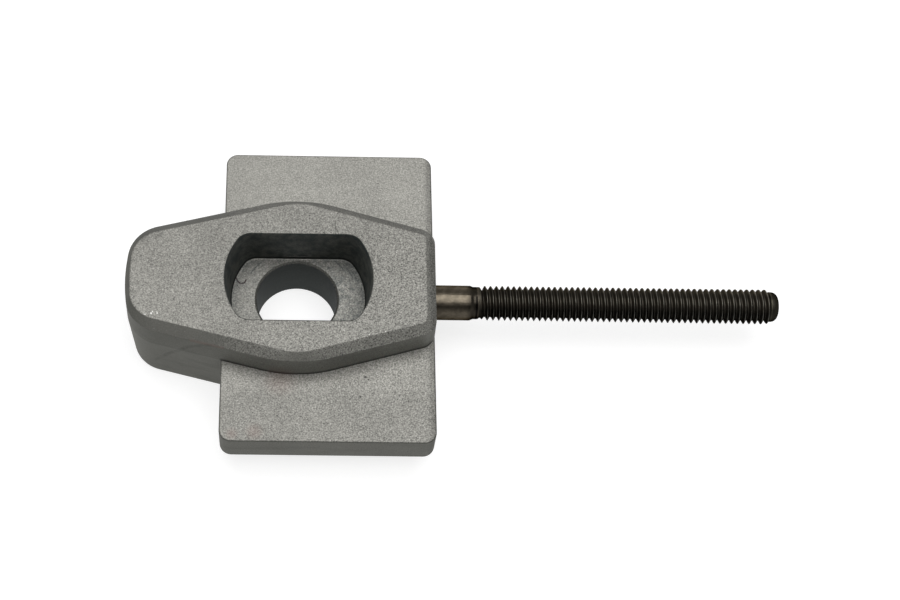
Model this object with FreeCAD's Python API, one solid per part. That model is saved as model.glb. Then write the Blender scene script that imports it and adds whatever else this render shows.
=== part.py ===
import FreeCAD, Part
import math
import os

from FreeCAD import Vector

# Motorcycle chain adjuster, in millimetres: a cast block that holds the end of the rear axle,
# and the threaded stud that draws the block along the swingarm.
# The axle bore runs along Z from the origin, the block lies on its back face at z = 0,
# and the stud points along +X.

# Boss, seen along the bore: a long hexagon, symmetric about the X axis and widest beside the pocket.
# Its left reach is to where the two halves of the left end would cross; an arc rounds them off 0.3 short.
BOSS_LEFT_REACH = 29.0
BOSS_RIGHT_REACH = 23.25
BOSS_LEFT_WIDTH = 17.4
BOSS_MIDDLE_WIDTH = 31.6
BOSS_RIGHT_WIDTH = 18.6
BOSS_THICKNESS = 18.8
LEFT_END_BULGE = 1.15
LEFT_END_RADIUS = 31.0
LEFT_CORNER_RADIUS = 6.4
MIDDLE_CORNER_RADIUS = 24.0
FRONT_MIDDLE_RADIUS = 11.0
RIGHT_CORNER_RADIUS = 3.0

# The pocket and the boss's widest place lie this far from the bore's axis, towards the stud
MIDDLE_OFFSET = 0.25

# Boss walls: the mould parts at the plate's front, and from there the walls lean in, by FRONT_DRAFT to
# the bevel and by more to the back. The bevel runs round the front edge. At the left end it is narrow,
# and the front face bulges less than the wall. The face turns more sharply than the walls at the middle.
FRONT_DRAFT = 0.1
BACK_DRAFT = 0.2
LEFT_FLANK_BACK_DRAFT = 0.6
LEFT_END_BACK_DRAFT = 0.5
BEVEL_HEIGHT = 1.4
BEVEL_WIDTH = 1.6
LEFT_END_BEVEL_WIDTH = 0.3
FRONT_FACE_BULGE = 0.4
FRONT_EDGE_ROUND = 0.3
BACK_EDGE_ROUND = 0.6

# Flange plate that bears on the side of the swingarm
PLATE_LEFT_REACH = 12.55
PLATE_RIGHT_REACH = 23.2
PLATE_LENGTH = 53.8
PLATE_THICKNESS = 6.4
PLATE_FRONT_HEIGHT = 12.3
PLATE_CORNER_RADIUS = 2.0
PLATE_EDGE_ROUND = 0.3

# Pocket for the axle's head: a round recess with two flats
POCKET_DIAMETER = 24.7
POCKET_ACROSS_FLATS = 15.9
POCKET_DEPTH = 8.8
POCKET_CORNER_RADIUS = 2.8
POCKET_END_DRAFT = 0.9
POCKET_FLAT_DRAFT = 0.2
POCKET_RIM_ROUND = 0.25
POCKET_FLOOR_ROUND = 0.3

# Axle bore
BORE_DIAMETER = 13.7
BORE_RIM_CHAMFER = 0.35

# Stud: a 6 mm shank that draws in to a collar, then a metric thread and a plain round nose
STUD_DIAMETER = 6.0
STUD_AXIS_HEIGHT = 9.4
SHANK_LENGTH = 8.25
SHANK_TAPER_LENGTH = 1.5
COLLAR_RADIUS = 2.8
COLLAR_END_LENGTH = 0.3
THREAD_LENGTH = 49.4
THREAD_PITCH = 1.0
THREAD_CREST_ALLOWANCE = 0.02
NOSE_DIAMETER = 5.1
NOSE_LENGTH = 1.4
NOSE_ROUND = 1.1
INNER_END_CHAMFER = 0.6

# Blind hole that the stud is screwed into; its drill point stops short of the pocket
STUD_HOLE_CLEARANCE = 0.02
STUD_END_GAP = 0.3
STUD_HOLE_WALL = 1.0
DRILL_POINT_ANGLE = 118.0

# Worked out from the sizes above
POCKET_FLOOR_HEIGHT = BOSS_THICKNESS - POCKET_DEPTH
PLATE_BACK_HEIGHT = PLATE_FRONT_HEIGHT - PLATE_THICKNESS
BORE_RADIUS = BORE_DIAMETER / 2
STUD_RADIUS = STUD_DIAMETER / 2
STUD_HOLE_RADIUS = STUD_RADIUS + STUD_HOLE_CLEARANCE
DRILL_POINT_LENGTH = STUD_HOLE_RADIUS / math.tan(math.radians(DRILL_POINT_ANGLE / 2))
STUD_HOLE_TIP = MIDDLE_OFFSET + POCKET_DIAMETER / 2 + STUD_HOLE_WALL
STUD_INNER_END = STUD_HOLE_TIP + DRILL_POINT_LENGTH + STUD_END_GAP
SHANK_END = BOSS_RIGHT_REACH + SHANK_LENGTH
THREAD_END = SHANK_END + THREAD_LENGTH
STUD_TIP = THREAD_END + NOSE_LENGTH
THREAD_DEPTH = 0.6134 * THREAD_PITCH
CREST_RADIUS = STUD_RADIUS - THREAD_CREST_ALLOWANCE

CUT_MARGIN = 1.0
NEAR = 1e-4


def rounded_wire(corners, insets, height):
    """A closed outline of straight sides and tangent corner arcs, at one height.

    corners are (x, y, radius) anticlockwise. insets move the side that follows each corner
    towards the inside, and a corner's radius shrinks with the sides that meet there.
    """
    count = len(corners)
    lines = []
    for index in range(count):
        start = Vector(corners[index][0], corners[index][1], height)
        end = Vector(corners[(index + 1) % count][0], corners[(index + 1) % count][1], height)
        direction = (end - start).normalize()
        inward = Vector(-direction.y, direction.x, 0)
        lines.append((start + inward * insets[index], direction))
    arcs = []
    for index in range(count):
        before, after = lines[index - 1], lines[index]
        corner = meeting_point(before, after)
        radius = corners[index][2] - (insets[index - 1] + insets[index]) / 2
        half_turn = before[1].getAngle(after[1]) / 2
        tangent = radius * math.tan(half_turn)
        bisector = (after[1] - before[1]).normalize()
        to_middle = radius / math.cos(half_turn) - radius
        start = corner - before[1] * tangent
        end = corner + after[1] * tangent
        arcs.append((start, corner + bisector * to_middle, end))
    edges = []
    for index in range(count):
        start, middle, end = arcs[index]
        edges.append(Part.Arc(start, middle, end).toShape())
        edges.append(Part.LineSegment(end, arcs[(index + 1) % count][0]).toShape())
    return Part.Wire(edges)


def meeting_point(first, second):
    """Where two lines, each a point and a direction in the XY plane, cross."""
    (point, along), (other, across) = first, second
    gap = other - point
    cross = along.x * across.y - along.y * across.x
    distance = (gap.x * across.y - gap.y * across.x) / cross
    return point + along * distance


def boss_corners(left_bulge, middle_radius):
    left = -BOSS_LEFT_REACH + LEFT_END_BULGE
    left_half = BOSS_LEFT_WIDTH / 2
    middle_half = BOSS_MIDDLE_WIDTH / 2
    right_half = BOSS_RIGHT_WIDTH / 2
    return [
        (left - left_bulge, 0, LEFT_END_RADIUS),
        (left, -left_half, LEFT_CORNER_RADIUS),
        (MIDDLE_OFFSET, -middle_half, middle_radius),
        (BOSS_RIGHT_REACH, -right_half, RIGHT_CORNER_RADIUS),
        (BOSS_RIGHT_REACH, right_half, RIGHT_CORNER_RADIUS),
        (MIDDLE_OFFSET, middle_half, middle_radius),
        (left, left_half, LEFT_CORNER_RADIUS),
    ]


def boss_outline(height, inset, flank, end, left_bulge=LEFT_END_BULGE, middle_radius=MIDDLE_CORNER_RADIUS):
    """The boss's outline with its sides moved in: by flank and end at the left, and by inset elsewhere."""
    corners = boss_corners(left_bulge, middle_radius)
    return rounded_wire(corners, [end, flank, inset, inset, inset, flank, end], height)


def edges_at(shape, height):
    """The edges that lie flat at one height."""
    return [edge for edge in shape.Edges if all(abs(v.Z - height) < NEAR for v in edge.Vertexes)]


def make_boss():
    back = boss_outline(0, BACK_DRAFT, LEFT_FLANK_BACK_DRAFT, LEFT_END_BACK_DRAFT)
    widest = boss_outline(PLATE_FRONT_HEIGHT, 0, 0, 0)
    bevel = boss_outline(BOSS_THICKNESS - BEVEL_HEIGHT, FRONT_DRAFT, FRONT_DRAFT, FRONT_DRAFT)
    face_inset = FRONT_DRAFT + BEVEL_WIDTH
    end_inset = FRONT_DRAFT + LEFT_END_BEVEL_WIDTH
    front_bends = (FRONT_FACE_BULGE, FRONT_MIDDLE_RADIUS)
    front = boss_outline(BOSS_THICKNESS, face_inset, face_inset, end_inset, *front_bends)
    boss = Part.makeLoft([back, widest, bevel, front], True, True)
    boss = boss.makeFillet(FRONT_EDGE_ROUND, edges_at(boss, BOSS_THICKNESS))
    return boss.makeFillet(BACK_EDGE_ROUND, edges_at(boss, 0))


def make_plate():
    width = PLATE_LEFT_REACH + PLATE_RIGHT_REACH
    corner = Vector(-PLATE_LEFT_REACH, -PLATE_LENGTH / 2, PLATE_BACK_HEIGHT)
    plate = Part.makeBox(width, PLATE_LENGTH, PLATE_THICKNESS, corner)
    upright = [edge for edge in plate.Edges if abs(edge.Vertexes[0].Z - edge.Vertexes[1].Z) > NEAR]
    plate = plate.makeFillet(PLATE_CORNER_RADIUS, upright)
    rims = edges_at(plate, PLATE_FRONT_HEIGHT) + edges_at(plate, PLATE_BACK_HEIGHT)
    return plate.makeFillet(PLATE_EDGE_ROUND, rims)


def rectangle(length, width, height):
    x, y = length / 2, width / 2
    points = [Vector(-x, -y, height), Vector(x, -y, height), Vector(x, y, height), Vector(-x, y, height)]
    return Part.makePolygon(points + points[:1])


def make_pocket():
    """The pocket's space: a tapered round plug with two tapered flats, and rounded corners."""
    top = BOSS_THICKNESS + CUT_MARGIN
    past_top = CUT_MARGIN / POCKET_DEPTH
    floor_radius = POCKET_DIAMETER / 2 - POCKET_END_DRAFT
    top_radius = POCKET_DIAMETER / 2 + POCKET_END_DRAFT * past_top
    floor_flats = POCKET_ACROSS_FLATS - 2 * POCKET_FLAT_DRAFT
    top_flats = POCKET_ACROSS_FLATS + 2 * POCKET_FLAT_DRAFT * past_top
    floor_centre = Vector(0, 0, POCKET_FLOOR_HEIGHT)
    plug = Part.makeCone(floor_radius, top_radius, POCKET_DEPTH + CUT_MARGIN, floor_centre)
    length = POCKET_DIAMETER + 2 * CUT_MARGIN
    sections = [rectangle(length, floor_flats, POCKET_FLOOR_HEIGHT), rectangle(length, top_flats, top)]
    pocket = plug.common(Part.makeLoft(sections, True, True))
    off_flat = floor_flats / 2 - NEAR
    corners = [
        edge
        for edge in pocket.Edges
        if abs(edge.Vertexes[0].Z - edge.Vertexes[-1].Z) > NEAR
        and all(abs(v.Y) > off_flat for v in edge.Vertexes)
    ]
    pocket = pocket.makeFillet(POCKET_CORNER_RADIUS, corners)
    pocket = pocket.makeFillet(POCKET_FLOOR_ROUND, edges_at(pocket, POCKET_FLOOR_HEIGHT))
    pocket.translate(Vector(MIDDLE_OFFSET, 0, 0))
    return pocket


def make_bore():
    bore = Part.makeCylinder(BORE_RADIUS, POCKET_FLOOR_HEIGHT + 2 * CUT_MARGIN, Vector(0, 0, -CUT_MARGIN))
    rim_start = Vector(0, 0, POCKET_FLOOR_HEIGHT - BORE_RIM_CHAMFER)
    reach = BORE_RIM_CHAMFER + CUT_MARGIN
    rim = Part.makeCone(BORE_RADIUS, BORE_RADIUS + reach, reach, rim_start)
    return bore.fuse(rim)


def turned(points):
    """A solid turned about the stud's axis, from points that give place along X and radius."""
    profile = [Vector(x, 0, STUD_AXIS_HEIGHT + radius) for x, radius in points]
    face = Part.Face(Part.makePolygon(profile + profile[:1]))
    return face.revolve(Vector(0, 0, STUD_AXIS_HEIGHT), Vector(1, 0, 0), 360)


def make_stud_hole():
    mouth = max(BOSS_RIGHT_REACH, PLATE_RIGHT_REACH) + CUT_MARGIN
    return turned([
        (STUD_HOLE_TIP, 0),
        (STUD_HOLE_TIP + DRILL_POINT_LENGTH, STUD_HOLE_RADIUS),
        (mouth, STUD_HOLE_RADIUS),
        (mouth, 0),
    ])


def make_block():
    block = make_boss().fuse(make_plate())
    block = block.cut(make_pocket())
    on_rim = [
        edge
        for edge in edges_at(block, BOSS_THICKNESS)
        if all(math.hypot(v.X - MIDDLE_OFFSET, v.Y) < POCKET_DIAMETER / 2 + NEAR for v in edge.Vertexes)
    ]
    block = block.makeFillet(POCKET_RIM_ROUND, on_rim)
    block = block.cut(make_bore())
    return block.cut(make_stud_hole())


def make_stud():
    """The stud without its thread's grooves, which lie between the root and the crests."""
    root_radius = CREST_RADIUS - THREAD_DEPTH
    nose_radius = NOSE_DIAMETER / 2
    stud = turned([
        (STUD_INNER_END, 0),
        (STUD_INNER_END, STUD_RADIUS - INNER_END_CHAMFER),
        (STUD_INNER_END + INNER_END_CHAMFER, STUD_RADIUS),
        (SHANK_END - SHANK_TAPER_LENGTH, STUD_RADIUS),
        (SHANK_END - COLLAR_END_LENGTH, COLLAR_RADIUS),
        (SHANK_END, root_radius),
        (SHANK_END + THREAD_PITCH / 2, CREST_RADIUS),
        (THREAD_END - (CREST_RADIUS - nose_radius), CREST_RADIUS),
        (THREAD_END, nose_radius),
        (STUD_TIP, nose_radius),
        (STUD_TIP, 0),
    ])
    tip = [edge for edge in stud.Edges if all(abs(v.X - STUD_TIP) < NEAR for v in edge.Vertexes)]
    return stud.makeFillet(NOSE_ROUND, tip)


PARTS = {"adjuster_block": make_block, "adjuster_stud": make_stud}

os.makedirs("parts", exist_ok=True)
for name, make in PARTS.items():
    shape = make()
    shape.exportStep(f"parts/{name}.step")
    print(name, "valid", shape.isValid(), "solids", len(shape.Solids), "volume", round(shape.Volume, 1))
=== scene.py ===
# %% [markdown]
# A chain adjuster sits in the end of a motorcycle's swingarm. The rear axle goes through its block, and a nut on
# its stud draws the block back to tighten the chain. This notebook dresses the finished model of one: the block
# keeps its shape and gets the surface of a casting, and the stud gets its real thread.
# The model comes in metres, with Z up along the axle and X along the stud.

# %% Load the model
import math
from functools import partial
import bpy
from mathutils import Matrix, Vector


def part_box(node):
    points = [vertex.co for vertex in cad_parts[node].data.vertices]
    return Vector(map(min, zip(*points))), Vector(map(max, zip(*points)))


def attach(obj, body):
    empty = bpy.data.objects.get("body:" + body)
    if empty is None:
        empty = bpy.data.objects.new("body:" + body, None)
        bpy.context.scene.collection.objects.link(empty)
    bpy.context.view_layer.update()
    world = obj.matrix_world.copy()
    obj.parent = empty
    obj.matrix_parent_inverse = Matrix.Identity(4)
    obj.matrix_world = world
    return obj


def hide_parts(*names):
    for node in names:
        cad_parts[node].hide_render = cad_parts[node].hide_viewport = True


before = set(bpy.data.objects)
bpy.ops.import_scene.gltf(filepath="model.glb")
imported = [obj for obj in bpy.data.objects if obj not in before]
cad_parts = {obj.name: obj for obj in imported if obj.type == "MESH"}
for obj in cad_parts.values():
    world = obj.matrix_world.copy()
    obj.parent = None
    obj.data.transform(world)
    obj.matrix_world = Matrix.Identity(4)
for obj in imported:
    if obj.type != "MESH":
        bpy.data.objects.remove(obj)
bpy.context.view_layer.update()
from types import SimpleNamespace

import bmesh
import bpy
from mathutils import Vector

MM = 0.001
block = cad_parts["adjuster_block"]
cad_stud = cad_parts["adjuster_stud"]

# %% [markdown]
# The photograph looks down on the block from 65 degrees, square to the stud. A long lens keeps the edges nearly
# parallel. The picture was cropped off centre, so the camera is shifted and not turned: turning it would change the
# perspective of every edge.

# %% Camera
CAMERA_PLACE = (-0.53 * MM, -136.17 * MM, 293.05 * MM)
CAMERA_TILT = 24.97
CAMERA_ROLL = -1.485
CAMERA_TURN = 0.147
LENS_MM = 73.75
SHIFT_RIGHT = 0.128
SHIFT_UP = 0.02506


def make_camera():
    data = bpy.data.cameras.new("camera")
    data.lens = LENS_MM
    data.sensor_width = 36
    data.shift_x = SHIFT_RIGHT
    data.shift_y = SHIFT_UP
    data.clip_start = 0.01
    camera = bpy.data.objects.new("camera", data)
    camera.location = CAMERA_PLACE
    camera.rotation_euler = [math.radians(a) for a in (CAMERA_TILT, CAMERA_ROLL, CAMERA_TURN)]
    bpy.context.scene.collection.objects.link(camera)
    bpy.context.scene.camera = camera
    return camera


camera = make_camera()
print("camera at", [round(c / MM, 1) for c in camera.location], "mm")

# %% [markdown]
# Shaders work with linear light, and colours are easier to read as the hex values of a picture. One function turns
# one into the other. A second one adds any node, sets its fields, joins its inputs and gives back its output, so
# that each material below reads as a list of what it mixes. The rest are what a worn surface needs again and again:
# masks that meet, cloudy patches, a round spot, a straight stroke, and a colour laid over another where a mask is 1.

# %% Helpers for materials
SMOOTH = {"interpolation_type": "SMOOTHSTEP"}


def linear(hex_colour):
    values = [int(hex_colour[i:i + 2], 16) / 255 for i in (1, 3, 5)]
    return [v / 12.92 if v <= 0.04045 else ((v + 0.055) / 1.055) ** 2.4 for v in values] + [1.0]


def add_node(tree, kind, inputs=(), output=0, **fields):
    """Adds one node and gives back one of its outputs.

    inputs are values or other nodes' outputs, in the order of the node's sockets or in a dictionary by name.
    """
    node = tree.nodes.new("ShaderNode" + kind)
    for name, value in fields.items():
        setattr(node, name, value)
    for socket, value in (inputs.items() if isinstance(inputs, dict) else enumerate(inputs)):
        if isinstance(value, bpy.types.NodeSocket):
            tree.links.new(value, node.inputs[socket])
        else:
            node.inputs[socket].default_value = value
    return node.outputs[output] if node.outputs else None


def new_material(name):
    material = bpy.data.materials.new(name)
    material.use_nodes = True
    material.node_tree.nodes.clear()
    return material, material.node_tree


def all_of(tree, *masks):
    """1 where every mask is 1: their product."""
    total = masks[0]
    for mask in masks[1:]:
        total = add_node(tree, "Math", (total, mask), operation="MULTIPLY")
    return total


def any_of(tree, *masks):
    """1 where at least one mask is 1: the highest of them."""
    total = masks[0]
    for mask in masks[1:]:
        total = add_node(tree, "Math", (total, mask), operation="MAXIMUM")
    return total


def patches(tree, place, size, start=0.35, end=0.65, low=0.0, high=1.0):
    """Cloudy patches about as wide as size, from low between them to high inside them."""
    cloud = add_node(tree, "TexNoise", {"Vector": place, "Scale": 1 / size, "Detail": 3.0, "Roughness": 0.6})
    return add_node(tree, "MapRange", (cloud, start, end, low, high), **SMOOTH)


def spot(tree, place, centre, radius, softness=0.5):
    """1 inside a ball, 0 outside it, with a soft rim. centre and radius are in millimetres."""
    away = add_node(tree, "VectorMath", (place, Vector(centre) * MM), "Value", operation="DISTANCE")
    return add_node(tree, "MapRange", (away, radius * (1 + softness) * MM, radius * (1 - softness) * MM), **SMOOTH)


def stroke(tree, place, start, end, width):
    """1 along a straight line from start to end, in millimetres, with soft sides."""
    start, end = Vector(start) * MM, Vector(end) * MM
    along = (end - start).normalized()
    offset = add_node(tree, "VectorMath", (place, start), operation="SUBTRACT")
    reach = add_node(tree, "VectorMath", (offset, along), "Value", operation="DOT_PRODUCT")
    held = add_node(tree, "Clamp", (reach, 0.0, (end - start).length))
    foot = add_node(tree, "VectorMath", {0: along, "Scale": held}, operation="SCALE")
    away = add_node(tree, "VectorMath", (offset, foot), "Value", operation="DISTANCE")
    return add_node(tree, "MapRange", (away, width * MM, width * 0.3 * MM), **SMOOTH)


def lay_over(tree, colour, mask, share, over):
    """Lays a hex colour over another colour where the mask is 1, by a share of it."""
    amount = add_node(tree, "Math", (mask, share), operation="MULTIPLY")
    return add_node(tree, "Mix", {0: amount, 6: colour, 7: linear(over)}, 2, data_type="RGBA")


# %% [markdown]
# The background of the photograph is plain white. A pale floor does that, and what the lamps leave short of white is
# added for the camera and for reflections only, so the added light falls on nothing. The floor keeps the block's
# soft shadow.

# %% Floor and world
FLOOR_SIZE = 8.0
FLOOR_COLOUR = "#b4b4b4"
FLOOR_LIFT = 0.74
ROOM_GREY = "#ababab"
DARK_PLACE = "#161616"


def seen_directly(tree):
    """1 for the camera, for reflections and through glass, 0 for the light that falls on things."""
    rays = [add_node(tree, "LightPath", output=f"Is {kind} Ray") for kind in ("Camera", "Glossy", "Transmission")]
    return any_of(tree, *rays)


def make_floor():
    bpy.ops.object.select_all(action="DESELECT")
    bpy.ops.mesh.primitive_plane_add(size=FLOOR_SIZE, location=(0, 0, 0))
    floor = bpy.context.active_object
    floor.name = "floor"
    material, tree = new_material("matt_pale_card")
    card = add_node(tree, "BsdfDiffuse", {"Color": linear(FLOOR_COLOUR), "Roughness": 0.5})
    lift = add_node(tree, "Emission", {"Strength": all_of(tree, seen_directly(tree), FLOOR_LIFT)})
    add_node(tree, "OutputMaterial", (add_node(tree, "AddShader", (card, lift)),))
    floor.data.materials.append(material)
    return floor


def make_world():
    """A grey room with one dark place above the camera's side, over a white backdrop at the horizon."""
    world = bpy.data.worlds.new("soft_room")
    world.use_nodes = True
    tree = world.node_tree
    tree.nodes.clear()
    add = partial(add_node, tree)
    way = add("TexCoord", output="Generated")
    height = add("SeparateXYZ", (way,), "Z")
    to_dark = add("VectorMath", (way, (0, -0.75, 0.66)), "Value", operation="DOT_PRODUCT")
    dark = add("MapRange", (to_dark, 0.93, 0.985), **SMOOTH)
    room_colour = lay_over(tree, linear(ROOM_GREY), dark, 1.0, DARK_PLACE)
    room = add("Background", (room_colour, 1.0))
    white = add("Background", (linear("#ffffff"), 1.0))
    backdrop = all_of(tree, add("MapRange", (height, 0.3, 0.1), **SMOOTH), seen_directly(tree))
    add("OutputWorld", (add("MixShader", (backdrop, room, white)),))
    bpy.context.scene.world = world


make_floor()
make_world()
print("floor", FLOOR_SIZE, "m wide, lifted by", FLOOR_LIFT)

# %% [markdown]
# In the photograph the faces that look up are bright and every wall is dark, and the round shank has one bright
# band above its middle, with a weaker band under it. So the light is two softboxes side by side, nearly overhead:
# a strong one a little behind the part, and a weaker one in front of it.

# %% Lights
def add_softbox(name, place, target, width, depth, power):
    data = bpy.data.lights.new(name, "AREA")
    data.shape = "RECTANGLE"
    data.size = width
    data.size_y = depth
    data.energy = power
    light = bpy.data.objects.new(name, data)
    light.location = place
    light.rotation_euler = (Vector(target) - Vector(place)).to_track_quat("-Z", "Y").to_euler()
    bpy.context.scene.collection.objects.link(light)
    return light


add_softbox("overhead_softbox", (0.05, 0.2, 0.9), (0.02, 0, 0), 0.9, 0.44, 4.1)
add_softbox("front_softbox", (0.05, -0.195, 0.9), (0.02, 0, 0), 0.9, 0.33, 2.3)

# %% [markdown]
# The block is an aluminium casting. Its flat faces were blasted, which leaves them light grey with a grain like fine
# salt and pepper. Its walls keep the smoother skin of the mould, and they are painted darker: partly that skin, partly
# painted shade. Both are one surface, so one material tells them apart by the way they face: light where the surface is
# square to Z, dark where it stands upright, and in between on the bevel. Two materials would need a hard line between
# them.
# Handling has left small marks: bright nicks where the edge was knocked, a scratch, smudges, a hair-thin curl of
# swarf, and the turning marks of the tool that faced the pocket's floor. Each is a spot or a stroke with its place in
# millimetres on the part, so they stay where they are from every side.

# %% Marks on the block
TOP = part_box("adjuster_block")[1].z / MM
POCKET_DEPTH = 8.8
POCKET_FLOOR = TOP - POCKET_DEPTH
PLATE_TOP = 12.3

# Bright nicks: place on the part and radius, in millimetres
NICKS = [
    ((-24.9, -7.35, TOP), 0.11), ((-23.9, -7.15, TOP), 0.16), ((-23.7, -6.85, TOP), 0.1), ((-22.9, -7.1, TOP), 0.11),
    ((11.9, -10.5, TOP), 0.08), ((14.6, -9.9, TOP), 0.07), ((18.3, -9.0, TOP), 0.06), ((20.6, -8.3, TOP), 0.06),
    ((21.8, -3.2, TOP), 0.06),
]
# Dark pits
PITS = [
    ((11.5, -15.3, PLATE_TOP), 0.2), ((12.0, -15.75, PLATE_TOP), 0.14), ((10.6, -18.8, PLATE_TOP), 0.18),
    ((-19.8, 7.4, TOP), 0.1), ((2.0, 11.5, TOP), 0.1), ((18.6, 4.4, TOP), 0.12), ((23.2, 20.0, PLATE_TOP), 0.25),
    ((-3.0, -22.4, PLATE_TOP), 0.12), ((16.8, -19.2, PLATE_TOP), 0.11), ((3.05, 8.35, TOP), 0.12),
    ((4.4, 8.2, TOP), 0.1), ((5.6, 8.25, TOP), 0.11),
]
# Soft reddish tints: centre and radius
TINTS = [((-2.6, -15.8, PLATE_TOP), 2.2), ((-6.7, -25.2, PLATE_TOP), 1.1), ((-10.4, -25.6, PLATE_TOP), 0.8)]
# Lines: start, end and width
PARTING_TINT = ((-17.2, -11.4, 17.2), (-12.2, -12.7, 17.3), 0.6)
SCRATCH = ((6.29, 10.4, TOP), (6.3, 8.1, TOP), 0.13)
# A painted shade line along the pocket's near rim
NEAR_RIM_SHADE = ((-8.5, -8.0, TOP), (9.0, -8.0, TOP), 0.24)
SMUDGE = ((-25.5, 6.4, TOP), (-23.2, 7.6, TOP), 1.3)
# A wavy flow mark on the near left flank, point by point
FLOW_MARK = [(-25.76, -9.23, 2.1), (-23.43, -9.82, 6.0), (-21.16, -10.39, 9.9), (-18.26, -11.12, 14.1),
             (-15.33, -11.86, 16.6), (-13.15, -12.41, 17.5)]
# The curl of swarf, point by point, on the pocket's floor
CURL = [(-10.99, 4.08), (-10.57, 4.09), (-10.15, 3.24), (-9.63, 2.81), (-8.98, 2.97), (-8.74, 3.54)]
# Arcs left by the facing tool: radius, and the angles where they begin and end
TOOL_MARKS = [(9.8, 30, 52), (10.4, 22, 40), (10.9, 14, 32), (9.3, 130, 150)]
print("marks:", len(NICKS), "nicks,", len(PITS), "pits,", len(TINTS), "tints,", len(TOOL_MARKS), "arcs of the tool")

# %% [markdown]
# The functions that colour the block share its masks: which way the surface faces, and whether it is on the left
# flank, in the pocket or in the bore. Each mask comes from the part's own coordinates, so it follows the shape.

# %% Regions of the block
# Radii just outside the pocket's round ends and the bore
PAST_POCKET = 12.95
PAST_BORE = 7.0
# Where the boss's left flank begins and where it is whole, along X
FLANK_BEGINS = -7
FLANK_WHOLE = -16


def block_regions(tree):
    """Places and masks on the block, from 0 to 1."""
    add = partial(add_node, tree)
    on = SimpleNamespace()
    on.place = add("TexCoord", output="Object")
    on.x, on.y, on.z = (add("SeparateXYZ", (on.place,), axis) for axis in range(3))
    normal = add("NewGeometry", output="Normal")
    on.faces_back = add("SeparateXYZ", (normal,), 1)
    upright = add("Math", (add("SeparateXYZ", (normal,), 2),), operation="ABSOLUTE")
    on.left = add("MapRange", (on.x, FLANK_BEGINS * MM, FLANK_WHOLE * MM), **SMOOTH)
    level_from = add("MapRange", (on.left, 0, 1, 0.5, 0.58))
    on.blasted = add("MapRange", (upright, level_from, 0.97), **SMOOTH)
    on.wall = add("Math", (1.0, on.blasted), operation="SUBTRACT")
    flat_place = add("VectorMath", (on.place, (1, 1, 0)), operation="MULTIPLY")
    on.from_axis = add("VectorMath", (flat_place,), "Value", operation="LENGTH")
    on.above_plate = add("MapRange", (on.z, (PLATE_TOP - 0.1) * MM, (PLATE_TOP + 0.2) * MM), **SMOOTH)
    on.pocket_wall = all_of(
        tree, on.wall,
        add("MapRange", (on.from_axis, PAST_POCKET * MM, (PAST_POCKET - 0.2) * MM), **SMOOTH),
        add("MapRange", (on.z, (POCKET_FLOOR - 0.1) * MM, (POCKET_FLOOR + 0.1) * MM), **SMOOTH))
    on.pocket_floor = all_of(
        tree, on.blasted,
        add("MapRange", (on.from_axis, (PAST_POCKET - 0.05) * MM, (PAST_POCKET - 0.45) * MM), **SMOOTH),
        add("MapRange", (on.z, (POCKET_FLOOR + 0.6) * MM, (POCKET_FLOOR + 0.2) * MM), **SMOOTH))
    on.bore_wall = all_of(
        tree, on.wall, add("MapRange", (on.from_axis, PAST_BORE * MM, (PAST_BORE - 0.1) * MM), **SMOOTH))
    return on


print("pocket's floor at", round(POCKET_FLOOR, 2), "mm, plate's face at", PLATE_TOP, "mm")

# %% [markdown]
# Blasting throws grit at the casting, and each grain of grit leaves a tiny crater with facets that sparkle. A picture
# of such a face would have to be wrapped round the part. Noise in the part's own space has no seams, so the grain
# is noise: once as a factor on the colour, and once as a fine relief that the light catches.

# %% Grain of the blasted faces
# Real craters are about 0.1 mm wide. That is too fine to show in a picture of the whole part, so the grain is drawn
# over twice as wide, and the facets painted bright as glints three times as wide.
GRAIN = 0.24 * MM
GLINT_FACET = 0.3 * MM


def block_grain(tree, on):
    """A factor round 1: softer on the walls, on the bevels of the ends and at the plate's far end."""
    add = partial(add_node, tree)
    at_ends = any_of(tree, on.left, add("MapRange", (on.x, 20.5 * MM, 22 * MM, 0.0, 0.8), **SMOOTH))
    rough_from = add("MapRange", (at_ends, 0, 1, 0.12, 0.45))
    on_skin = add("MapRange", (at_ends, 0, 1, 0.4, 0.2))
    fine = add("TexNoise", {"Vector": on.place, "Scale": 1 / GRAIN, "Detail": 2.0, "Roughness": 0.7})
    strength = all_of(
        tree,
        add("MapRange", (on.y, 22 * MM, 2 * MM, 0.64, 1.0), **SMOOTH),
        add("MapRange", (on.z, (PLATE_TOP + 0.1) * MM, (PLATE_TOP + 0.5) * MM, 0.87, 1.0), **SMOOTH),
        add("MapRange", (on.x, -26 * MM, 18 * MM, 2.55, 3.5), **SMOOTH),
        add("MapRange", (on.blasted, rough_from, 0.6, on_skin, 1.0), **SMOOTH))
    swing = add("Math", (fine, 0.5), operation="SUBTRACT")
    return add("Math", (swing, strength, 1.0), operation="MULTIPLY_ADD")


def painted_glints(tree, on):
    """1 in the few facets painted bright as glints: a painted highlight where a facet would lie square to the light."""
    add = partial(add_node, tree)
    cells = {"Vector": on.place, "Scale": 1 / GLINT_FACET}
    picked = add("SeparateColor", (add("TexVoronoi", cells, "Color"),))
    middle = add("MapRange", (add("TexVoronoi", cells, "Distance"), 0.5, 0.15), **SMOOTH)
    return all_of(tree, add("MapRange", (picked, 0.93, 0.99), **SMOOTH), middle, on.blasted)


def block_relief(tree, on):
    """The grain as a relief, weaker on the walls."""
    add = partial(add_node, tree)
    craters = add("TexNoise", {"Vector": on.place, "Scale": 1 / GRAIN, "Detail": 2.0})
    height = all_of(tree, craters, add("MapRange", (on.blasted, 0, 1, 0.3, 1.0)))
    return add("Bump", {"Height": height, "Strength": 0.5, "Distance": 0.06 * MM})


print("grain", round(GRAIN / MM, 2), "mm, facets", round(GLINT_FACET / MM, 2), "mm")
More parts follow.
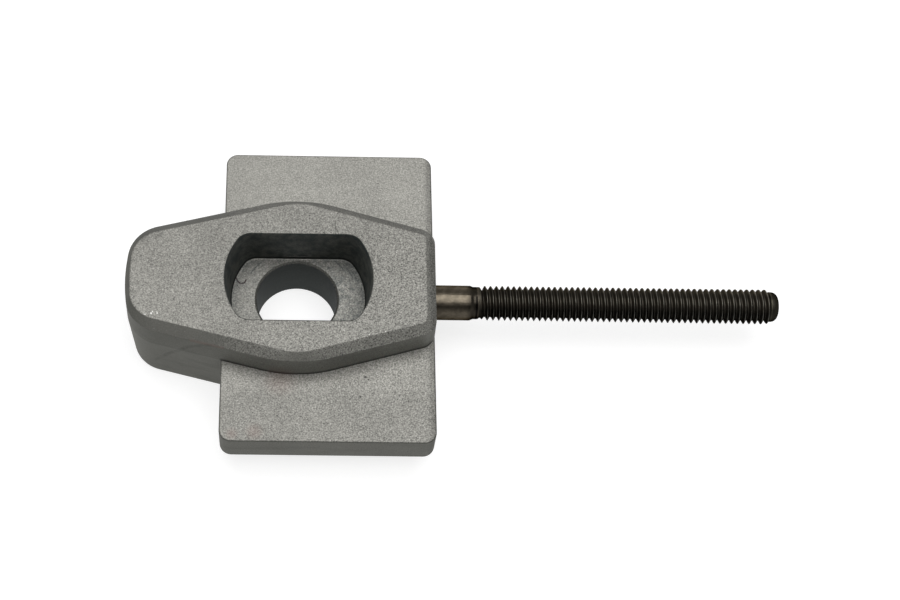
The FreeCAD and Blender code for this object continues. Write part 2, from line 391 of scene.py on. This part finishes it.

# %% [markdown]
# A casting is never one even grey. The mould, the grit and the hands that held it leave slow changes, and each region
# has a tone of its own. Some factors are painted light and painted shade instead: lighter beside the near wall, on the
# boss's walls above the plate and at the far end of the plate, darker on walls that face back, low on the left flank
# and on the pocket's floor. Factors on one colour are easier to balance than a colour for each region.

# %% Tone of each region
def block_tone_and_shade(tree, on):
    """How light each region is, as a factor round 1: the casting's tone, with painted light and painted shade in some
    regions.
    """
    add = partial(add_node, tree)
    near_wall_painted_light = all_of(tree, on.wall, on.above_plate, add("MapRange", (on.x, -13 * MM, -9 * MM), **SMOOTH))
    plate_painted_light_by_wall = all_of(tree, add("MapRange", (on.y, -19.5 * MM, -16.5 * MM), **SMOOTH),
                     add("Math", (1.0, on.above_plate), operation="SUBTRACT"))
    left_end = add("MapRange", (on.blasted, 0, 1, 0.97, 1.1))
    low_left_painted_shade = all_of(tree, on.wall, add("MapRange", (on.x, -12 * MM, -13 * MM), **SMOOTH),
                      add("MapRange", (on.z, (PLATE_TOP + 0.3) * MM, (PLATE_TOP - 0.3) * MM), **SMOOTH))
    return all_of(
        tree,
        # clouds over the whole casting
        patches(tree, on.place, 9 * MM, 0.3, 0.7, 0.94, 1.05),
        # lighter at the far end of the plate, a painted light against the boss's shade there; lighter at the boss's
        # left end, darker on its right end
        add("MapRange", (on.y, 10 * MM, 20 * MM, 1.0, 1.06), **SMOOTH),
        add("MapRange", (on.x, -12 * MM, -22 * MM, 1.0, left_end), **SMOOTH),
        add("MapRange", (on.x, 21.7 * MM, 22.6 * MM, 1.0, 0.7), **SMOOTH),
        # the plate is a little lighter than the boss, and painted lighter beside its near wall, a painted light against
        # that wall's shade
        add("MapRange", (on.z, (PLATE_TOP + 0.5) * MM, (PLATE_TOP + 0.1) * MM, 1.0, 1.04), **SMOOTH),
        add("MapRange", (plate_painted_light_by_wall, 0, 1, 1.0, 1.24)),
        # the walls: painted shade on those that face back, painted light on the boss's walls above the plate, painted
        # shade under the parting line at the left
        add("MapRange", (on.faces_back, 0.3, 0.6, 1.0, 0.79), **SMOOTH),
        add("MapRange", (near_wall_painted_light, 0, 1, 1.0, 1.3)),
        add("MapRange", (low_left_painted_shade, 0, 1, 1.0, 0.84)),
        # the pocket's floor, painted darker as shade in the recess
        add("MapRange", (on.pocket_floor, 0, 1, 1.0, 0.9)))


# %% Stains and painted shade on the walls
def stain_and_shade_walls(tree, on, colour):
    """Stains that run along the walls, and painted shade: the walls of the pocket and the bore are painted darker and
    bluish.
    """
    add = partial(add_node, tree)
    squeezed = add("VectorMath", (on.place, (0.5, 0.5, 2.2)), operation="MULTIPLY")
    runs = all_of(tree, patches(tree, squeezed, 5 * MM, 0.5, 0.68), on.wall)
    colour = lay_over(tree, colour, runs, 0.13, "#3b3d38")
    uneven = patches(tree, on.place, 1.6 * MM, 0.35, 0.65, 0.4, 1.0)
    # Painted shade in the recesses: the pocket's and the bore's walls painted darker and bluish
    colour = lay_over(tree, colour, all_of(tree, on.pocket_wall, uneven), 0.68, "#2f3c3e")
    colour = lay_over(tree, colour, on.bore_wall, 0.8, "#343b3c")

    # Painted shade in the corner where the boss stands on the plate, and at the foot of the pocket's wall
    aside = add("Math", (on.y,), operation="ABSOLUTE")
    foot = all_of(tree, on.wall,
                  add("MapRange", (on.z, (PLATE_TOP + 1.0) * MM, (PLATE_TOP + 0.1) * MM), **SMOOTH),
                  add("MapRange", (on.z, (PLATE_TOP - 0.2) * MM, PLATE_TOP * MM), **SMOOTH),
                  add("MapRange", (aside, 8.3 * MM, 8.9 * MM), **SMOOTH),
                  add("MapRange", (on.x, -12.9 * MM, -12.4 * MM), **SMOOTH))
    pocket_foot_shade = all_of(tree, on.pocket_wall,
                         add("MapRange", (on.z, (POCKET_FLOOR + 0.8) * MM, (POCKET_FLOOR + 0.2) * MM), **SMOOTH))
    return lay_over(tree, colour, any_of(tree, foot, pocket_foot_shade), 0.75, "#1b1d1c")


# %% Handling marks
def mark_surface(tree, on, colour):
    """The marks listed above that are darker or redder than the metal, and a painted shade line at the pocket's near
    rim.
    """
    warm = any_of(tree, *[spot(tree, on.place, *tint, 0.8) for tint in TINTS], stroke(tree, on.place, *PARTING_TINT))
    colour = lay_over(tree, colour, warm, 0.2, "#7d5c55")
    smudge = all_of(tree, stroke(tree, on.place, *SMUDGE), patches(tree, on.place, 1.2 * MM))
    colour = lay_over(tree, colour, smudge, 0.25, "#3f403d")
    flow = [stroke(tree, on.place, a, b, 0.6) for a, b in zip(FLOW_MARK, FLOW_MARK[1:])]
    broken = patches(tree, on.place, 1.4 * MM, 0.35, 0.65, 0.25, 1.0)
    colour = lay_over(tree, colour, all_of(tree, any_of(tree, *flow), broken), 0.36, "#3f403d")
    pits = any_of(tree, *[spot(tree, on.place, *pit) for pit in PITS])
    colour = lay_over(tree, colour, pits, 0.75, "#1f201e")
    # Painted shade: a dark line along the pocket's near rim
    colour = lay_over(tree, colour, stroke(tree, on.place, *NEAR_RIM_SHADE), 0.7, "#30312f")
    colour = lay_over(tree, colour, stroke(tree, on.place, *SCRATCH), 0.5, "#4a4b48")
    curl = [stroke(tree, on.place, (*a, POCKET_FLOOR), (*b, POCKET_FLOOR), 0.2) for a, b in zip(CURL, CURL[1:])]
    return lay_over(tree, colour, any_of(tree, *curl), 0.9, "#33262a")


# %% [markdown]
# The pocket's floor was faced with a turning tool after casting. It keeps a few arcs of the tool round the bore's axis.
# It is dull towards the right, and rough and blue-dark at its edge, where the tool didn't reach.

# %% Faced floor of the pocket
def tool_arc(tree, from_axis, around, radius, start, end):
    """1 along an arc round the bore, between two angles in degrees, with soft ends."""
    add = partial(add_node, tree)
    off = add("Math", (add("Math", (from_axis, radius * MM), operation="SUBTRACT"),), operation="ABSOLUTE")
    ring = add("MapRange", (off, 0.2 * MM, 0.05 * MM), **SMOOTH)
    begins = add("MapRange", (around, math.radians(start - 4), math.radians(start + 4)), **SMOOTH)
    ends = add("MapRange", (around, math.radians(end + 4), math.radians(end - 4)), **SMOOTH)
    return all_of(tree, ring, begins, ends)


def face_floor(tree, on, colour):
    """The pocket's floor: the tool's arcs, the dull side and the dark specks at its edge."""
    add = partial(add_node, tree)
    around = add("Math", (on.y, on.x), operation="ARCTAN2")
    arcs = [tool_arc(tree, on.from_axis, around, *arc) for arc in TOOL_MARKS]
    edge = add("MapRange", (on.from_axis, 9.0 * MM, 11.5 * MM), **SMOOTH)
    specks = all_of(tree, edge, patches(tree, on.place, 0.5 * MM, 0.42, 0.6))
    dull = all_of(tree, patches(tree, on.place, 0.9 * MM, 0.33, 0.75),
                  add("MapRange", (on.x, -8 * MM, 8 * MM, 0.4, 1.0)))
    return lay_over(tree, colour, all_of(tree, any_of(tree, *arcs, specks, dull), on.pocket_floor), 0.63, "#454d4e")


# %% Block material
FACE = "#878681"
# The walls' colour: partly the mould's darker skin, partly painted shade
WALL_SKIN_AND_SHADE = "#6b6b66"


def cast_aluminium():
    material, tree = new_material("blasted_cast_aluminium")
    add = partial(add_node, tree)
    on = block_regions(tree)
    # Darker where the surface stands upright: partly the mould's skin, partly painted shade
    colour = lay_over(tree, linear(WALL_SKIN_AND_SHADE), on.blasted, 1.0, FACE)
    tone = all_of(tree, block_grain(tree, on), block_tone_and_shade(tree, on))
    colour = add("VectorMath", {0: colour, "Scale": tone}, operation="SCALE")
    for step in (stain_and_shade_walls, mark_surface, face_floor):
        colour = step(tree, on, colour)

    # Painted glints on the facets that flash, and the bright metal of the nicks
    colour = lay_over(tree, colour, painted_glints(tree, on), 0.3, "#e9e8e2")
    nicks = any_of(tree, *[spot(tree, on.place, *nick, 0.4) for nick in NICKS])
    colour = lay_over(tree, colour, nicks, 0.9, "#e2e2de")
    roughness = add("MapRange", (on.blasted, 0, 1, 0.76, 0.58))
    shader = add("BsdfPrincipled", {"Base Color": colour, "Metallic": 1.0, "Roughness": roughness,
                                    "Normal": block_relief(tree, on)})
    add("OutputMaterial", (shader,))
    return material


block.data.materials.clear()
block.data.materials.append(cast_aluminium())
print("block material:", len(block.data.materials[0].node_tree.nodes), "nodes")

# %% [markdown]
# The stud's thread is rolled, so its crests are narrow and its roots are round. A profile one pitch long is
# extruded point by point, and a Screw modifier winds it into the whole helix. It starts some turns early: on the
# real stud the groove doesn't begin at once but runs out, shallower and shallower, into the end of the shank. So
# each point is then set to its radius: that of the stud's outline there, less the groove's depth, which fades at
# both ends.

# %% Stud sizes, read from the model
stud_low, stud_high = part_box("adjuster_stud")
STUD_AXIS = (stud_low.z + stud_high.z) / 2
STUD_RADIUS = (stud_high.z - stud_low.z) / 2
STUD_START = stud_low.x
STUD_TIP = stud_high.x
PITCH = 1.0 * MM
THREAD_LENGTH = 49.4 * MM
NOSE_LENGTH = 1.4 * MM
NOSE_RADIUS = 2.55 * MM
NOSE_ROUND = 1.1 * MM
SHANK_TAPER = 2.1 * MM
COLLAR_RADIUS = 2.76 * MM
CREST_RADIUS = STUD_RADIUS - 0.02 * MM
THREAD_DEPTH = 0.6134 * PITCH
CREST_FLAT = PITCH / 10
ROOT_FLAT = PITCH / 4
INNER_CHAMFER = 0.6 * MM
THREAD_END = STUD_TIP - NOSE_LENGTH
SHANK_END = THREAD_END - THREAD_LENGTH
SHANK_CUT = SHANK_END - SHANK_TAPER - 0.1 * MM
print("stud from", round(STUD_START / MM, 2), "to", round(STUD_TIP / MM, 2), "mm, axis at", round(STUD_AXIS / MM, 2))

# %% Thread profile
# One pitch of the thread as steps along the stud and out from its axis: half a root, the flank up and half a crest.
# The other half is the same steps in mirror order. Beads are small steps that round the corners.
FLANK = (PITCH - CREST_FLAT - ROOT_FLAT) / 2
BEAD = 0.04 * MM
HALF_FLANK = (FLANK / 2, THREAD_DEPTH / 2 - BEAD)
RISE = [(ROOT_FLAT / 4, 0.0), (ROOT_FLAT / 4, BEAD), HALF_FLANK, HALF_FLANK, (CREST_FLAT / 3, BEAD)]
PROFILE = RISE + [(CREST_FLAT / 3, 0.0)] + [(x, -z) for x, z in reversed(RISE)]
print("profile:", len(PROFILE), "steps over", round(sum(x for x, z in PROFILE) / MM, 3), "mm")


# %% Wind the thread
STEPS_PER_TURN = 72
SPARE_TURNS = 3
PHASE = 0.25 * PITCH


def edit_all(thing):
    bpy.ops.object.select_all(action="DESELECT")
    thing.select_set(True)
    bpy.context.view_layer.objects.active = thing
    bpy.ops.object.mode_set(mode="EDIT")
    bpy.ops.mesh.select_all(action="SELECT")


def wind_thread():
    """A helix of the thread's profile, longer than the thread at both ends."""
    start = SHANK_END + PHASE - SPARE_TURNS * PITCH
    bpy.ops.object.select_all(action="DESELECT")
    bpy.ops.mesh.primitive_plane_add(size=PITCH, location=(start, 0, STUD_AXIS))
    thread = bpy.context.active_object
    thread.name = "threaded_stud"
    edit_all(thread)
    bpy.ops.mesh.merge(type="CENTER")
    bpy.ops.transform.translate(value=(0, 0, CREST_RADIUS - THREAD_DEPTH))
    for x, z in PROFILE:
        bpy.ops.mesh.extrude_region_move(TRANSFORM_OT_translate={"value": (x, 0, z)})
    bpy.ops.object.mode_set(mode="OBJECT")
    screw = thread.modifiers.new("helix", "SCREW")
    screw.axis = "X"
    screw.angle = math.tau
    screw.screw_offset = PITCH
    screw.steps = STEPS_PER_TURN
    screw.render_steps = STEPS_PER_TURN
    screw.iterations = math.ceil((THREAD_LENGTH + NOSE_LENGTH) / PITCH) + 2 * SPARE_TURNS
    bpy.ops.object.modifier_apply(modifier="helix")
    bpy.ops.object.transform_apply(location=True, rotation=True, scale=True)
    # each turn ends where the next begins, so their points are merged
    edit_all(thread)
    bpy.ops.mesh.remove_doubles(threshold=0.002 * MM)
    bpy.ops.object.mode_set(mode="OBJECT")
    return thread


threaded_stud = wind_thread()
print("wound thread:", len(threaded_stud.data.polygons), "faces, from",
      round(min(v.co.x for v in threaded_stud.data.vertices) / MM, 2), "mm")


# %% [markdown]
# The stud's outline is a shank that draws in to a small collar, the thread's crests, and a plain nose with a
# round end. Two functions say it as numbers: how far out the stud reaches at a place along it, and how much of the
# groove is cut there.

# %% Radius along the stud
def smooth(value):
    value = max(0.0, min(1.0, value))
    return value * value * (3 - 2 * value)


def outline_radius(x):
    """Radius of the stud without grooves, at a place along it."""
    if x > THREAD_END:
        into_round = max(0.0, x - (STUD_TIP - NOSE_ROUND))
        return NOSE_RADIUS - NOSE_ROUND + math.sqrt(max(0.0, NOSE_ROUND**2 - into_round**2))
    if x > THREAD_END - (CREST_RADIUS - NOSE_RADIUS):
        return NOSE_RADIUS + THREAD_END - x
    to_collar = smooth((x - (SHANK_END - SHANK_TAPER)) / (0.7 * MM))
    if x < SHANK_END:
        return STUD_RADIUS - to_collar * (STUD_RADIUS - COLLAR_RADIUS)
    return COLLAR_RADIUS + smooth((x - SHANK_END) / (0.4 * PITCH)) * (CREST_RADIUS - COLLAR_RADIUS)


def groove_share(x):
    """How much of the thread's depth is cut at a place along the stud: none on the shank and on the nose."""
    runs_out = smooth((x - (SHANK_END - 0.75 * PITCH)) / (0.95 * PITCH))
    return runs_out * smooth((THREAD_END - x) / (0.35 * PITCH))


looked_at = {"shank": STUD_START, "collar": SHANK_END - 0.5 * PITCH, "thread": SHANK_END + PITCH, "nose": THREAD_END}
print("radius in millimetres:", {name: round(outline_radius(x) / MM, 2) for name, x in looked_at.items()})


# %% [markdown]
# The helix is cut square at both ends, rings are added where the nose curves, and then the points move to their
# radius. What is left open is the shank: its ring is extruded back to the end that sits in the block.

# %% Shape the stud
def set_radii(thing):
    """Moves each point of the helix to the stud's outline, less the groove's depth there."""
    for vertex in thing.data.vertices:
        offset = Vector((0, vertex.co.y, vertex.co.z - STUD_AXIS))
        if offset.length < STUD_RADIUS / 2:
            continue
        depth = (CREST_RADIUS - offset.length) * groove_share(vertex.co.x)
        offset *= (outline_radius(vertex.co.x) - depth) / offset.length
        vertex.co = Vector((vertex.co.x, offset.y, offset.z + STUD_AXIS))


def bisect_at(thing, x, **options):
    edit_all(thing)
    bpy.ops.mesh.bisect(plane_co=(x, 0, STUD_AXIS), plane_no=(1, 0, 0), threshold=1e-7, **options)
    bpy.ops.object.mode_set(mode="OBJECT")


bisect_at(threaded_stud, SHANK_CUT, use_fill=False, clear_inner=True)
bisect_at(threaded_stud, STUD_TIP, use_fill=True, clear_outer=True)
for turn in range(1, 6):
    bisect_at(threaded_stud, STUD_TIP - NOSE_ROUND * (1 - math.sin(math.radians(15 * turn))))
set_radii(threaded_stud)
print("thread cut at", round(SHANK_CUT / MM, 2), "and", round(STUD_TIP / MM, 2), "mm")


# %% Close the shank
def extend_shank(thing):
    """Extrudes the thread's open end back along the shank to the stud's inner end, and closes it."""
    edit_all(thing)
    bpy.ops.mesh.select_all(action="DESELECT")
    mesh = bmesh.from_edit_mesh(thing.data)
    for edge in mesh.edges:
        edge.select_set(edge.is_boundary)
    bmesh.update_edit_mesh(thing.data)
    length = SHANK_CUT - STUD_START - INNER_CHAMFER
    for _ in range(3):
        bpy.ops.mesh.extrude_region_move(TRANSFORM_OT_translate={"value": (-length / 3, 0, 0)})
    bpy.ops.mesh.extrude_region_move(TRANSFORM_OT_translate={"value": (-INNER_CHAMFER, 0, 0)})
    shrink = 1 - INNER_CHAMFER / STUD_RADIUS
    bpy.ops.transform.resize(value=(1, shrink, shrink), center_override=(STUD_START, 0, STUD_AXIS))
    bpy.ops.mesh.edge_face_add()
    bpy.ops.mesh.select_all(action="SELECT")
    bpy.ops.mesh.normals_make_consistent(inside=False)
    bpy.ops.object.mode_set(mode="OBJECT")


extend_shank(threaded_stud)
bpy.ops.object.select_all(action="DESELECT")
threaded_stud.select_set(True)
bpy.context.view_layer.objects.active = threaded_stud
bpy.ops.object.shade_smooth_by_angle(angle=math.radians(40))
check = bmesh.new()
check.from_mesh(threaded_stud.data)
open_edges = sum(1 for e in check.edges if not e.is_manifold)
print("stud:", len(check.faces), "faces,", open_edges, "open edges, volume", round(check.calc_volume() / MM**3, 1))
check.free()

# %% [markdown]
# The steel is dark and brownish, with a film of old oil. On the shank it is a little streaky, so the bright band has
# an uneven edge. In the thread the grooves are a darker colour, and the narrow crests, rubbed by the nut, are lighter.
# Depth below the crests tells one from the other, and it is measured from the stud's axis. The underside is painted
# nearly black as painted shade, most of all on the thread, where the crests show less. The nose is dull. Between the
# shank and the thread the collar is painted dark as painted shade, with a painted shadow in a notch on its underside.

# %% Regions of the stud
UNDER = (0, -0.87, -0.5)


def stud_regions(tree):
    """Places and masks on the stud, from 0 to 1."""
    add = partial(add_node, tree)
    on = SimpleNamespace()
    on.place = add("TexCoord", output="Object")
    x = add("SeparateXYZ", (on.place,), 0)
    from_axis = add("VectorMath", (on.place, (0, 0, STUD_AXIS)), operation="SUBTRACT")
    across = add("VectorMath", (from_axis, (0, 1, 1)), operation="MULTIPLY")
    radius = add("VectorMath", (across,), "Value", operation="LENGTH")
    depth = add("Math", (CREST_RADIUS, radius), operation="SUBTRACT")
    under = add("VectorMath", (across, UNDER), "Value", operation="DOT_PRODUCT")
    on.underside = add("MapRange", (under, -0.1 * MM, 1.3 * MM), **SMOOTH)
    on.nose = add("MapRange", (x, THREAD_END - 0.3 * PITCH, THREAD_END), **SMOOTH)
    on.thread = all_of(tree, add("MapRange", (x, SHANK_END - 1.0 * PITCH, SHANK_END - 0.4 * PITCH), **SMOOTH),
                       add("MapRange", (x, THREAD_END + 0.2 * PITCH, THREAD_END - 0.2 * PITCH), **SMOOTH))
    on.groove = all_of(tree, add("MapRange", (depth, 0.02 * MM, 0.3 * MM), **SMOOTH), on.thread)
    on.crest = all_of(tree, add("MapRange", (depth, 0.09 * MM, 0.01 * MM), **SMOOTH), on.thread,
                      add("MapRange", (x, SHANK_END, SHANK_END + 0.4 * PITCH), **SMOOTH))
    on.collar = all_of(tree, add("MapRange", (x, SHANK_END - 3.0 * PITCH, SHANK_END - 1.6 * PITCH), **SMOOTH),
                       add("MapRange", (on.thread, 0.3, 0.0)))
    off_notch = add("Math", (add("Math", (x, SHANK_END - 0.95 * PITCH), operation="SUBTRACT"),), operation="ABSOLUTE")
    on.notch = all_of(tree, add("MapRange", (off_notch, 0.26 * MM, 0.12 * MM), **SMOOTH),
                      add("MapRange", (under, -1.5 * MM, -1.2 * MM), **SMOOTH))
    return on


print("thread from", round(SHANK_END / MM, 2), "to", round(THREAD_END / MM, 2), "mm")

# %% Stud material
STEEL = "#60594e"
CREST = "#8b8a84"
GROOVE = "#403d37"
NOSE = "#504e44"
PAINTED_SHADE = "#1d1c19"
NOTCH_SHADOW = "#0c0b0a"
# The shank's streaks are a few hundredths of a millimetre wide, too fine to show, so they are drawn this wide
STREAK = 0.3 * MM
WAVE = 1.6 * MM


def oiled_steel():
    material, tree = new_material("oiled_rolled_steel")
    add = partial(add_node, tree)
    on = stud_regions(tree)
    uneven = patches(tree, on.place, 1.1 * MM, 0.35, 0.7, 0.76, 1.18)
    colour = add("VectorMath", {0: linear(STEEL)[:3], "Scale": uneven}, operation="SCALE")
    colour = lay_over(tree, colour, on.groove, 0.88, GROOVE)
    colour = lay_over(tree, colour, on.nose, 0.85, NOSE)
    # Painted shade: the underside is painted nearly black, most of all on the thread
    shade_share = add("MapRange", (on.thread, 0, 1, 0.42, 0.95))
    colour = lay_over(tree, colour, all_of(tree, on.underside, shade_share), 1.0, PAINTED_SHADE)
    # The crests are lighter, less so where the underside is painted in shade
    rubbed_and_shaded = add("MapRange", (on.underside, 0, 1, 0.5, 0.36))
    colour = lay_over(tree, colour, all_of(tree, on.crest, rubbed_and_shaded), 1.0, CREST)
    # Painted shade on the collar, which dims the shank's highlight there, and a painted shadow in the notch on its
    # underside
    colour = lay_over(tree, colour, on.collar, 0.78, PAINTED_SHADE)
    colour = lay_over(tree, colour, on.notch, 0.9, NOTCH_SHADOW)

    # Long streaks on slow waves, so that the bright band has an uneven edge
    drawn_out = add("VectorMath", (on.place, (0.3, 1, 1)), operation="MULTIPLY")
    streaks = add("TexNoise", {"Vector": drawn_out, "Scale": 1 / STREAK, "Detail": 2.0})
    waves = add("TexNoise", {"Vector": on.place, "Scale": 1 / WAVE, "Detail": 2.0})
    height = add("Math", (streaks, 0.12, waves), operation="MULTIPLY_ADD")
    bump = add("Bump", {"Height": height, "Strength": 0.6, "Distance": 0.1 * MM})
    roughness = add("MapRange", (any_of(tree, on.nose, on.groove), 0, 1, 0.32, 0.48))
    shader = add("BsdfPrincipled", {"Base Color": colour, "Metallic": 1.0, "Roughness": roughness, "Normal": bump,
                                    "Specular Tint": linear("#989898")})
    add("OutputMaterial", (shader,))
    return material


threaded_stud.data.materials.clear()
threaded_stud.data.materials.append(oiled_steel())
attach(threaded_stud, "root")
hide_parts("adjuster_stud")
print("stud material:", len(threaded_stud.data.materials[0].node_tree.nodes), "nodes")

# %% [markdown]
# The Standard view shows each colour as it was written, which is how they were matched.

# %% Colour management
bpy.context.scene.view_settings.view_transform = "Standard"
